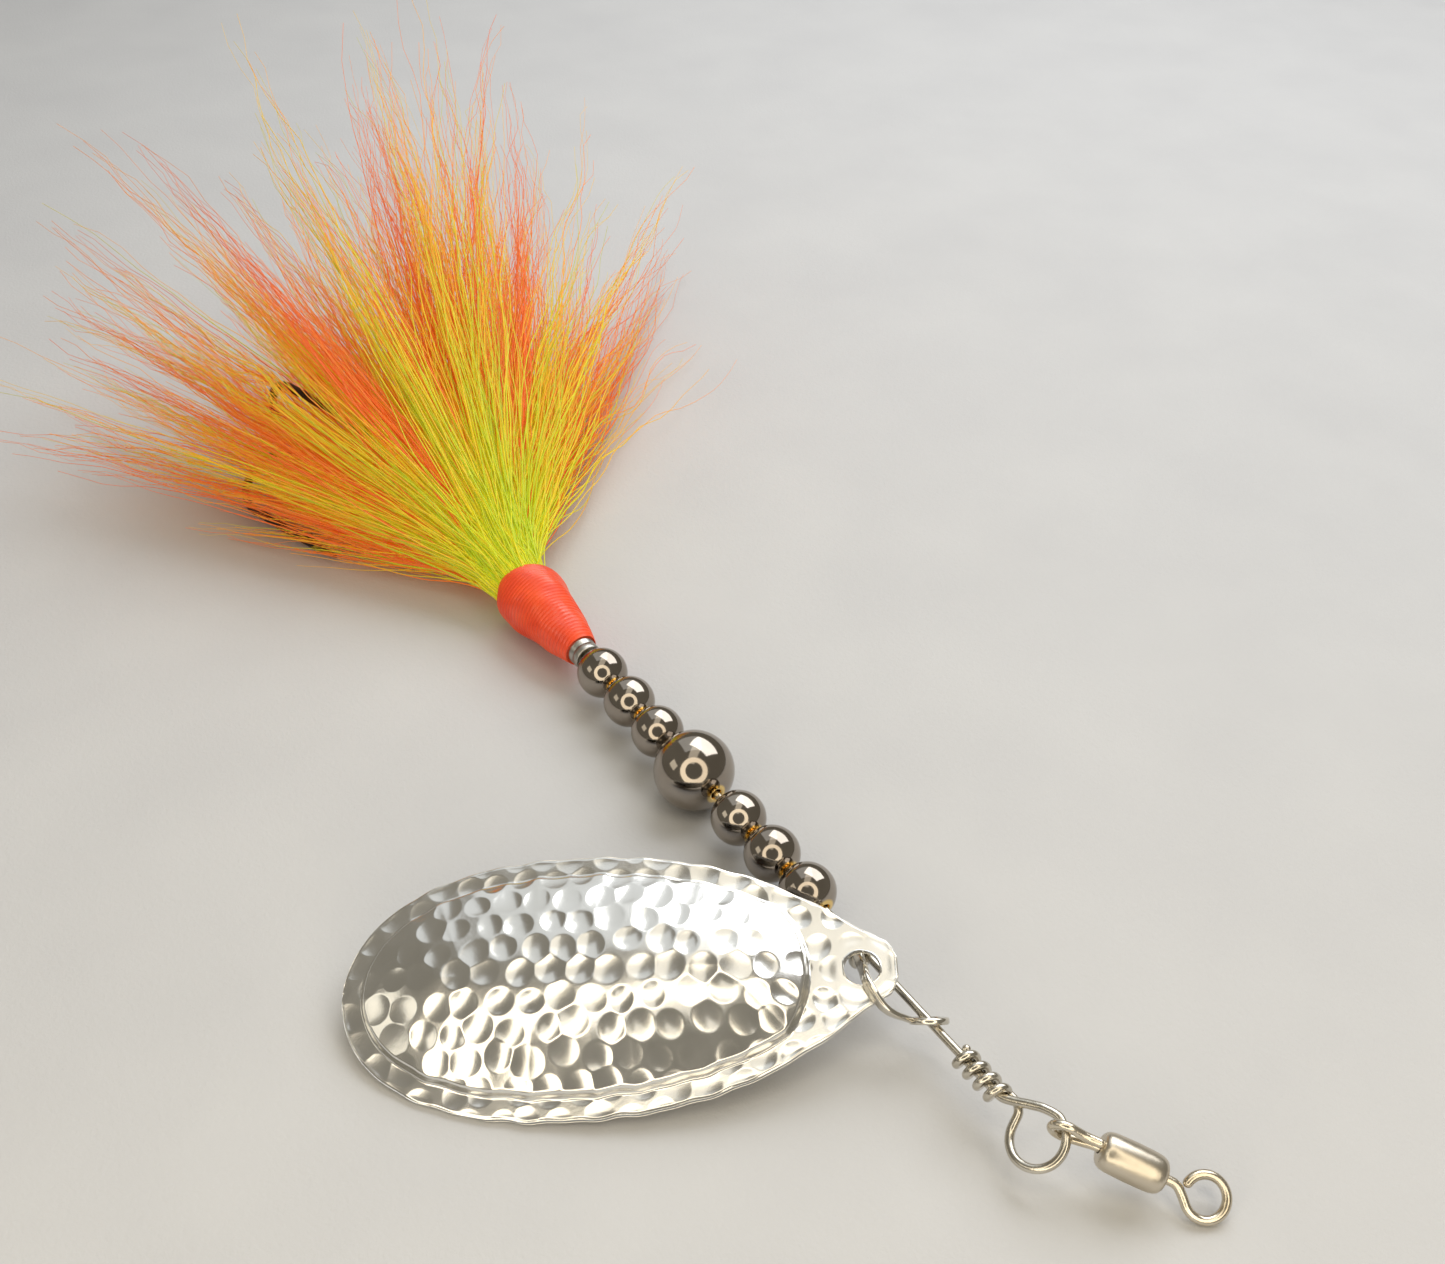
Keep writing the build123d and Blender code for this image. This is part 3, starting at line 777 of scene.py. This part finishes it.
def make_swivel():
    """The crimped barrel and its two bent-wire eyes, each with the wire's end left beside its neck."""
    lure_normal = unit(SWIVEL_HINGE - SWIVEL_AXIS * np.dot(SWIVEL_HINGE, SWIVEL_AXIS))
    nose = arc(LURE_EYE_NOSE, LURE_EYE_RADIUS, 65, 295)
    route = [(HEADS[0] + 0.3, 0), (2.30, 0), (1.95, 0.06), (1.55, 0.28)]
    route += [*nose, (1.20, -0.62), (1.85, -0.66), (2.28, -0.68)]
    eye_piece("lure_eye_bent", route, lure_normal, HEADS[0], "lure_eye", "swivel_lure_eye")

    centre = float(np.dot(LINE_EYE_PLACE - SWIVEL_PIVOT, SWIVEL_AXIS))
    ring = arc(centre, LINE_EYE_RADIUS, 214, 525)
    route = [(HEADS[1] - 0.3, 0), (7.75, 0), (8.20, -0.04), (8.60, -0.30), *ring]
    eye_piece("line_eye_bent", route, LINE_EYE_NORMAL, HEADS[1], "line_eye", "swivel_line_eye")

    start, end = BARREL
    mouth = SWIVEL_WIRE + 0.08
    crimp = [(0, mouth), (0, 0.60), (0.03, 0.85), (0.10, 1.04), (0.24, 1.20), (0.46, 1.31), (0.80, 1.375)]
    wall, hollow = 0.45, 1.05
    profile = [(start + along, radius) for along, radius in crimp]
    profile += [(start + 1.3, BARREL_RADIUS), ((start + end) / 2, BARREL_RADIUS + 0.02)]
    profile += [(end - 1.3, BARREL_RADIUS), *((end - along, radius) for along, radius in crimp[::-1])]
    profile += [(end - wall, mouth), (end - wall, hollow)]
    profile += [(start + wall, hollow), (start + wall, mouth), (start, mouth)]
    points, faces = lathe(profile, SWIVEL_PIVOT, SWIVEL_AXIS, 96)
    piece = make_mesh("swivel_barrel_crimped", points, faces, "barrel", ("swivel_barrel",))
    give(piece, BARREL_METAL)


make_swivel()


# ---- clevis
CLEVIS_TAB_RADIUS = 1.50
CLEVIS_HOLE = 0.875  # radius
CLEVIS_THICK = 0.50
CLEVIS_WIDE = 0.95
CLEVIS_FRONT = joint_place("clevis_spin")[0]
CLEVIS_REAR = np.array([24.0, 0, 0])
FRONT_LEVEL = heading(55.9, 0)  # the front tab's level direction, away from the strip
FRONT_NORMAL = heading(145.9, 39.1)
REAR_OUT = np.array([0, cos(radians(133.8)), sin(radians(133.8))])
# The strip's bends by the blade's hole: along the blade, across it, and over its face.
CLEVIS_BENDS = ((-1.40, 3.60, 0.90), (-0.20, 1.45, 1.53), (-0.10, -0.15, 0.0), (0.0, -0.75, -0.99))


def ribbon(path, wide, thick, first_width, last_width):
    """A flat strip with round edges along a path, turned evenly from one width direction to another."""
    corners = 28
    tangent, side, up = carried_frames(path)

    def turn_of(width, i):
        flat = unit(width - tangent[i] * np.dot(width, tangent[i]))
        return np.arctan2(np.dot(flat, up[i]), np.dot(flat, side[i]))

    first, last = turn_of(first_width, 0), turn_of(last_width, -1)
    last = first + (last - first + pi / 2) % pi - pi / 2
    run = run_length(path)
    angle = (first + (last - first) * run / run[-1])[:, None]
    width = side * np.cos(angle) + up * np.sin(angle)
    depth = np.cross(tangent, width)
    ring = all_round(corners)
    across = np.sign(np.cos(ring)) * np.abs(np.cos(ring)) ** 0.45 * wide / 2
    through = np.sign(np.sin(ring)) * np.abs(np.sin(ring)) ** 0.8 * thick / 2
    points = path[:, None] + width[:, None] * across[None, :, None]
    points = points + depth[:, None] * through[None, :, None]
    closed = [path[:1, None] + 0 * points[:1], points, path[-1:, None] + 0 * points[:1]]
    return np.concatenate(closed).reshape(-1, 3), band_faces(len(path) + 2, corners)


def make_clevis():
    """The folded clevis: two round tabs on the shaft and the strip through the blade's hole."""
    reach = CLEVIS_TAB_RADIUS - 0.30
    route = [CLEVIS_FRONT - FRONT_LEVEL * reach]
    for forward, sideways, rise in CLEVIS_BENDS:
        route.append(BLADE_HOLE + BLADE_AXIS * forward + BLADE_SIDE * sideways + BLADE_NORMAL * rise)
    route.append(CLEVIS_REAR + REAR_OUT * reach)
    path = rounded_path(route, passes=3, step=0.08)
    widths = np.cross(FRONT_NORMAL, FRONT_LEVEL), np.cross([1.0, 0, 0], REAR_OUT)
    parts = [ribbon(path, CLEVIS_WIDE, CLEVIS_THICK, *widths)]
    half, mouth, shoulder = CLEVIS_THICK / 2, CLEVIS_HOLE + 0.04, CLEVIS_TAB_RADIUS - 0.08
    profile = [
        (-half, mouth), (-half, shoulder), (-half * 0.5, CLEVIS_TAB_RADIUS),
        (half * 0.5, CLEVIS_TAB_RADIUS), (half, shoulder), (half, mouth),
        (half * 0.5, CLEVIS_HOLE), (-half * 0.5, CLEVIS_HOLE), (-half, mouth),
    ]
    for centre, normal in ((CLEVIS_FRONT, FRONT_NORMAL), (CLEVIS_REAR, (1, 0, 0))):
        parts.append(lathe(profile, centre, normal, 64))
    points, faces = join_parts(parts)
    piece = make_mesh("clevis_folded", points, faces, "clevis", ("clevis",))
    give(piece, CLEVIS_METAL)


make_clevis()


# ---- treble hook
HOOK_WIRE = 0.475
HOOK_EYE_RADIUS = 1.55
HOOK_AXIS = heading(198.0, 3.3)
HOOK_EYE = HOOK_PIVOT + HOOK_AXIS * (HOOK_EYE_RADIUS - WIRE - HOOK_WIRE - 0.10)
HOOK_SHANK = 30.5  # from the eye's centre to where the bend starts
HOOK_SPREAD = 8.30  # from the hook's axis to each arm
HOOK_ARM = 10.5  # from the bend to where the point starts
HOOK_POINT = 2.6
SINGLE_START = 3.2  # where the single hook's shank starts, from the eye's centre
BARB_AT = 3.4  # from the point's tip back to the barb's root
BARB_RISE = 0.75
SHANK_OFFSET = HOOK_WIRE * 2 / 3**0.5 + 0.04  # so that the three shanks just clear each other
HOOK_SIDE = unit(np.cross(HOOK_AXIS, [0, 0, 1.0]))
HOOK_UP = np.cross(HOOK_SIDE, HOOK_AXIS)


def hook_parts(turn, start):
    """One hook of the treble: shank, round bend, arm with a needle point, and its barb."""
    out = HOOK_UP * cos(radians(turn)) + HOOK_SIDE * sin(radians(turn))
    bend = (HOOK_SPREAD - SHANK_OFFSET) / 2
    angles = np.radians(np.linspace(-90, 90, 40))
    along = np.concatenate([np.linspace(start, HOOK_SHANK, 30), HOOK_SHANK + bend * np.cos(angles[1:-1])])
    offset = np.concatenate([np.full(30, SHANK_OFFSET), SHANK_OFFSET + bend + bend * np.sin(angles[1:-1])])
    arm = np.linspace(0, HOOK_ARM + HOOK_POINT, 50)
    along = np.concatenate([along, HOOK_SHANK - arm])
    offset = np.concatenate([offset, HOOK_SPREAD - 0.012 * np.clip(arm - 4, 0, None) ** 1.5])
    radius = np.full(len(along), HOOK_WIRE)
    to_tip = HOOK_ARM + HOOK_POINT - arm
    radius[-len(arm):] = HOOK_WIRE * (0.06 + 0.94 * np.sqrt(np.clip(to_tip / (HOOK_POINT * 1.3), 0, 1)))
    path = HOOK_EYE + HOOK_AXIS * along[:, None] + out * offset[:, None]
    tip_along = HOOK_SHANK - HOOK_ARM - HOOK_POINT
    root = HOOK_EYE + HOOK_AXIS * (tip_along + BARB_AT) + out * (HOOK_SPREAD - HOOK_WIRE * 0.7)
    lift = root + HOOK_AXIS * 1.5 - out * BARB_RISE
    front = root - HOOK_AXIS * 0.9
    barb = rounded_path([front, root + HOOK_AXIS * 0.2 - out * 0.10, lift], passes=2, step=0.08)
    barb_radius = np.interp(np.linspace(0, 1, len(barb)), (0, 0.35, 1), (0.10, 0.26, 0.03))
    return [tube(path, radius, 18), tube(barb, barb_radius, 10)]


def make_treble():
    """The double hook bent with its eye, and the single hook brazed between its shanks."""
    angles = np.radians(np.arange(-8, 369, 8))
    ring = circle(HOOK_AXIS, HOOK_SIDE, angles)
    double = [tube(HOOK_EYE + HOOK_EYE_RADIUS * ring, HOOK_WIRE, 18)]
    double += hook_parts(120, HOOK_EYE_RADIUS) + hook_parts(240, HOOK_EYE_RADIUS)
    for name, parts, node in (
        ("treble_double_ground", double, "treble_double_hook"),
        ("treble_single_ground", hook_parts(0, SINGLE_START), "treble_single_hook"),
    ):
        points, faces = join_parts(parts)
        piece = make_mesh(name, points, faces, "treble", (node,))
        give(piece, HOOK_METAL)


make_treble()


# ---- thread wrap
THREAD_PITCH = 0.42
THREAD_RIDGE = 0.13
# Radii of the wrap at shares of its length from the front end.
THREAD_SHAPE = (
    (0, 1.50), (0.04, 1.66), (0.25, 2.28), (0.50, 2.86), (0.72, 3.24),
    (0.82, 3.30), (0.90, 3.18), (0.96, 2.85), (1.0, 2.45),
)


def thread_skin(rows, columns):
    """Points over the wrap, ring by ring from its front: close uneven turns on a lumpy cone."""
    rng = np.random.default_rng(11)
    length = THREAD_FRONT - THREAD_REAR
    share = np.linspace(0, 1, rows)
    shape = np.array(THREAD_SHAPE)
    radius = np.interp(share, shape[:, 0], shape[:, 1])
    kernel = np.hanning(31)
    radius = np.convolve(np.pad(radius, 15, mode="edge"), kernel / kernel.sum(), mode="valid")
    angle = all_round(columns)
    turns = share[:, None] * length / THREAD_PITCH + angle[None] / (2 * pi)
    wander = 0
    for waves_round in (1, 2, 3):
        size, skew, start = rng.uniform(0.08, 0.2), rng.uniform(8, 26), rng.uniform(0, 6)
        wander = wander + size * np.sin(angle[None] * waves_round + share[:, None] * skew + start)
    phase = (turns + wander) % 1
    ridge = THREAD_RIDGE * np.sqrt(np.clip(1 - (2 * phase - 1) ** 2, 0, 1))
    lumps = 0.08 * np.sin(angle[None] * 2 + share[:, None] * 9)
    lumps += 0.05 * np.sin(angle[None] * 5 - share[:, None] * 17)
    size = radius[:, None] + ridge + lumps * smooth(share, 0.0, 0.3)[:, None]
    x = THREAD_FRONT - share * length
    skin = [x[:, None] + 0 * size, size * np.cos(angle)[None], size * np.sin(angle)[None]]
    return np.stack(skin, -1).reshape(-1, 3)


def thread_material():
    """Fluorescent orange thread with patches of varnish, and a faint painted glow in its own colour."""
    material, tree, shader = new_material(
        "thread_varnished", Specular_IOR_Level=0.5, Roughness=0.48, Coat_Roughness=0.12,
        Emission_Strength=0.05,
    )
    tint = ramp(
        tree, noise(tree, 420.0, 4.0),
        ((0.30, (0.74, 0.045, 0.006)), (0.55, (0.85, 0.068, 0.010)), (0.78, (0.92, 0.10, 0.018))),
    )
    tree.links.new(tint, shader.inputs["Base Color"])
    patch = ramp(tree, noise(tree, 260.0, 2.0), ((0.46, grey(0.0)), (0.62, grey(0.6))))
    tree.links.new(patch, shader.inputs["Coat Weight"])
    # Painted glow: the thread emits its own colour, though it is no lamp.
    tree.links.new(tint, shader.inputs["Emission Color"])
    bump(tree, shader, noise(tree, 5200.0, 3.0, stretch=(0.3, 1, 1)), 0.00002)
    return material


def make_thread_wrap():
    """Thread wound over the hair's roots, its two ends drawn in towards the shaft."""
    rows, columns = 300, 120
    points = thread_skin(rows, columns)
    faces = [band_faces(rows, columns)[:, ::-1]]
    for row in (0, rows - 1):
        ring = np.arange(columns) + row * columns
        inner = np.arange(columns) + len(points)
        points = np.concatenate([points, points[ring] * (1, 0.3, 0.3)])
        link = np.stack([ring, np.roll(ring, -1), np.roll(inner, -1), inner], -1)
        faces.append(link if row else link[:, ::-1])
    faces = np.concatenate(faces)
    piece = make_mesh("thread_wrap_wound", points, faces, "shaft", ("thread_wrap",))
    give(piece, thread_material())


make_thread_wrap()


# ---- hair
HAIR_STEPS = 24
HAIR_SIDES = 3
HAIR_ROOT_X = THREAD_REAR + 1.0
HAIR_RADIUS = 0.078
FAN_LEFT = -34.0  # the fan's two sides, degrees from -X towards +Y
FAN_RIGHT = 45.0
FAN_TOP = 33.0  # the fan's highest elevation
PARTING = 1.7  # how far the hair parts over the upper hook's bend
SHARES = np.linspace(0, 1, HAIR_STEPS)


def wisp_directions(rng, count):
    """Azimuth and elevation of each wisp: spread evenly across the fan, at any height under its roof."""
    azimuth = np.linspace(FAN_LEFT, FAN_RIGHT, count) + rng.normal(0, 2.2, count)
    middle, half = (FAN_LEFT + FAN_RIGHT) / 2, (FAN_RIGHT - FAN_LEFT) / 2 + 4
    roof = FAN_TOP * np.sqrt(np.clip(1 - ((azimuth - middle) / half) ** 2, 0.06, 1))
    return azimuth, -3 + (roof + 3) * rng.uniform(0, 1, count) ** 0.8


def wisp_guides(rng, root, azimuth, elevation, length, flare):
    """The wisps' middle lines: straight out of the thread, round into the fan, then a slow bend."""
    count = len(length)
    along = length[:, None] * SHARES[None]
    final = heading(180 - azimuth, elevation)
    side = unit(np.cross(final, [0, 0, 1.0]))
    lift = np.cross(side, final)
    turn = smooth(along, 0, flare[:, None])[..., None]
    start = np.array([-1.0, 0, 0.03])
    bend_side = rng.normal(0, 0.13, count)[:, None] * SHARES[None] ** 1.5
    bend_lift = (rng.normal(0, 0.07, count) - 0.10)[:, None] * SHARES[None] ** 1.6
    way = start * (1 - turn) + final[:, None] * turn
    way = unit(way + bend_side[..., None] * side[:, None] + bend_lift[..., None] * lift[:, None])
    step = np.diff(along, axis=1, prepend=0)[..., None]
    return root[:, None] + np.cumsum(way * step, axis=1), side, lift


def along_guide(guide, lock, ratio):
    """Each strand's place on its wisp's middle line, for a strand that is ratio of its length."""
    where = SHARES[None] * ratio[:, None] * (HAIR_STEPS - 1)
    low = np.floor(where).astype(int).clip(0, HAIR_STEPS - 2)
    part = (where - low)[..., None]
    return guide[lock[:, None], low] * (1 - part) + guide[lock[:, None], low + 1] * part


def waves(rng, count, length, side, lift):
    """Crimp in each strand, which grows from its root to its tip."""
    along = length[:, None] * SHARES[None]
    shift = np.zeros((count, HAIR_STEPS, 3))
    for scale_low, scale_high, size in ((9, 15, 0.34), (22, 40, 1.05)):
        scale = rng.uniform(scale_low, scale_high, count)[:, None]
        height = size * rng.uniform(0.2, 1.0, (count, 1)) * (0.15 + SHARES[None])
        phase = rng.uniform(0, 2 * pi, (count, 1))
        shift += (height * np.sin(along * 2 * pi / scale + phase))[..., None] * side[:, None]
        shift += (height * np.cos(along * 2.3 * pi / scale + phase))[..., None] * lift[:, None]
    return shift


def settle(path, clearance):
    """Keeps hair above the floor, with what would sink lying along it."""
    low = FLOOR + clearance
    height = path[..., 2] - low
    path[..., 2] = low + np.where(height > 1, height, np.exp(np.minimum(height, 1) - 1))
    return path


def part_round_hook(path):
    """Parts the hair that lies over the upper hook's bend, so that the bend shows."""
    bend = HOOK_EYE + HOOK_AXIS * (HOOK_SHANK + HOOK_SPREAD * 0.42) + HOOK_UP * HOOK_SPREAD * 0.62
    away = path - bend
    height = away @ BACK
    off = away - height[..., None] * BACK
    distance = np.linalg.norm(off, axis=-1, keepdims=True)
    wanted = np.sqrt(distance**2 + PARTING**2)
    near = smooth(height, -1.5, 0.5)[..., None] * np.exp(-((distance / (3 * PARTING)) ** 2))
    return path + off / np.maximum(distance, 1e-3) * (wanted - distance) * near


def make_wisps(seed, wisps, strands, reach, ring, stray, raised):
    """Strands in wisps that swell after the thread and narrow towards their tips, and some strays.

    reach and ring are the wisps' lengths and the roots' distances from the shaft, least and most;
    stray is the share of strands that leave their wisp, and raised lifts the wisps' first halves.
    """
    rng = np.random.default_rng(seed)
    azimuth, elevation = wisp_directions(rng, wisps)
    wisp_length = reach[0] + (reach[1] - reach[0]) * rng.uniform(0, 1, wisps) ** 1.3
    wisp_length *= 1.03 - 0.20 * ((azimuth - 20) / 50) ** 2
    lock = np.repeat(np.arange(wisps), strands)
    count = len(lock)
    turn = np.arctan2((elevation[lock] - 13) * 1.6, azimuth[lock] - 5) + rng.normal(0, 0.55, count)
    out = ring[0] + (ring[1] - ring[0]) * np.sqrt(rng.uniform(0, 1, count))
    root = np.stack([np.full(count, HAIR_ROOT_X), out * np.cos(turn), out * np.sin(turn)], -1)
    middle = np.stack([root[lock == k].mean(0) for k in range(wisps)])
    guide, side, lift = wisp_guides(rng, middle, azimuth, elevation, wisp_length, rng.uniform(9, 17, wisps))
    ratio = 0.45 + 0.55 * rng.uniform(0, 1, count) ** 0.8
    length = ratio * wisp_length[lock]
    place = along_guide(guide, lock, ratio)
    swell = np.interp(SHARES, (0, 0.12, 0.42, 0.75, 1), (0, 0.55, 1.0, 0.85, 0.60))
    swell = np.tile(swell, (count, 1))
    stray_one = rng.uniform(0, 1, count) < stray
    swell[stray_one] = np.linspace(0, 2.3, HAIR_STEPS) ** 1.1
    spread = rng.normal(0, 1.05, (count, 2))
    path = place + (spread[:, :1] * swell)[..., None] * side[lock][:, None]
    path += (spread[:, 1:] * 0.7 * swell)[..., None] * lift[lock][:, None]
    path += (root - middle[lock])[:, None] * (1 - smooth(SHARES, 0.0, 0.30))[None, :, None]
    over = raised * np.interp(SHARES, (0, 0.15, 0.35, 0.75), (0, 1, 1, 0))
    path += over[None, :, None] * lift[lock][:, None]
    path += waves(rng, count, length, side[lock], lift[lock])
    path = part_round_hook(path)
    return settle(path, rng.uniform(0.1, 0.9, (count, 1))), rng.uniform(0, 1, count)


def hair_mesh(name, path, tint, material):
    """Strands as fine tapering tubes, with each one's tint and its share of length kept as attributes."""
    count = len(path)
    tangent = unit(np.gradient(path, axis=1))
    side = unit(np.cross(tangent, [0, 0, 1.0]))
    up = np.cross(side, tangent)
    size = HAIR_RADIUS * (1 - smooth(SHARES, 0.35, 1.0) * 0.68)
    rng = np.random.default_rng(count)
    size = size[None] * rng.uniform(0.75, 1.15, (count, 1))
    ring = circle(side, up, all_round(HAIR_SIDES))
    points = (path[:, :, None] + ring * size[:, :, None, None]).reshape(-1, 3)
    one = band_faces(HAIR_STEPS, HAIR_SIDES)
    block = HAIR_STEPS * HAIR_SIDES
    faces = (one[None] + (np.arange(count) * block)[:, None, None]).reshape(-1, 4)
    piece = make_mesh(name, points, faces[:, ::-1], "shaft")
    mark_points(piece, "tint", np.repeat(tint, block))
    mark_points(piece, "along", np.tile(np.repeat(SHARES, HAIR_SIDES), count))
    give(piece, material)
    return piece


def hair_material(name, root_stops, tip_stops):
    """Dyed hair: each strand has its own tint, which shifts towards its tip, and a faint painted glow in that
    colour.
    """
    material, tree, shader = new_material(
        name, Roughness=0.42, Specular_IOR_Level=0.45, Emission_Strength=0.20,
        Sheen_Weight=0.2, Sheen_Roughness=0.4,
    )
    tint = add_node(tree, "ShaderNodeAttribute", attribute_name="tint").outputs["Fac"]
    along = add_node(tree, "ShaderNodeAttribute", attribute_name="along").outputs["Fac"]
    shift = ramp(tree, along, ((0.15, grey(0)), (0.85, grey(1))))
    colour = blend_colours(tree, shift, ramp(tree, tint, root_stops), ramp(tree, tint, tip_stops))
    tree.links.new(colour, shader.inputs["Base Color"])
    # Painted glow: the hair emits its own colour, lifting it out of its self-shadowing.
    tree.links.new(colour, shader.inputs["Emission Color"])
    return material


CHARTREUSE = hair_material(
    "hair_chartreuse",
    ((0.0, (0.48, 0.62, 0.002)), (0.5, (0.68, 0.70, 0.002)), (1.0, (0.82, 0.66, 0.002))),
    (
        (0.0, (0.50, 0.52, 0.004)), (0.35, (0.82, 0.50, 0.003)),
        (0.7, (0.90, 0.34, 0.003)), (1.0, (0.90, 0.18, 0.008)),
    ),
)
ORANGE = hair_material(
    "hair_orange",
    ((0.0, (0.88, 0.12, 0.003)), (0.5, (0.92, 0.17, 0.003)), (1.0, (0.92, 0.30, 0.003))),
    ((0.0, (0.78, 0.12, 0.006)), (0.5, (0.82, 0.17, 0.010)), (1.0, (0.80, 0.25, 0.016))),
)


def make_hair(node, material, seed, *growth):
    """One colour of hair in three pieces, grown from three seeds."""
    for number in range(3):
        path, tint = make_wisps(seed + number, *growth)
        piece = hair_mesh(f"{node}_{number + 1}", path, tint, material)
        if number == 0:
            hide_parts(node)


# Orange hair is longer and beneath, and chartreuse hair shorter and outside at the thread.
make_hair("orange_hair", ORANGE, 100, 44, 15, (46, 90), (0.4, 1.9), 0.09, 0.0)
make_hair("chartreuse_hair", CHARTREUSE, 200, 52, 18, (34, 86), (1.5, 2.5), 0.08, 0.9)
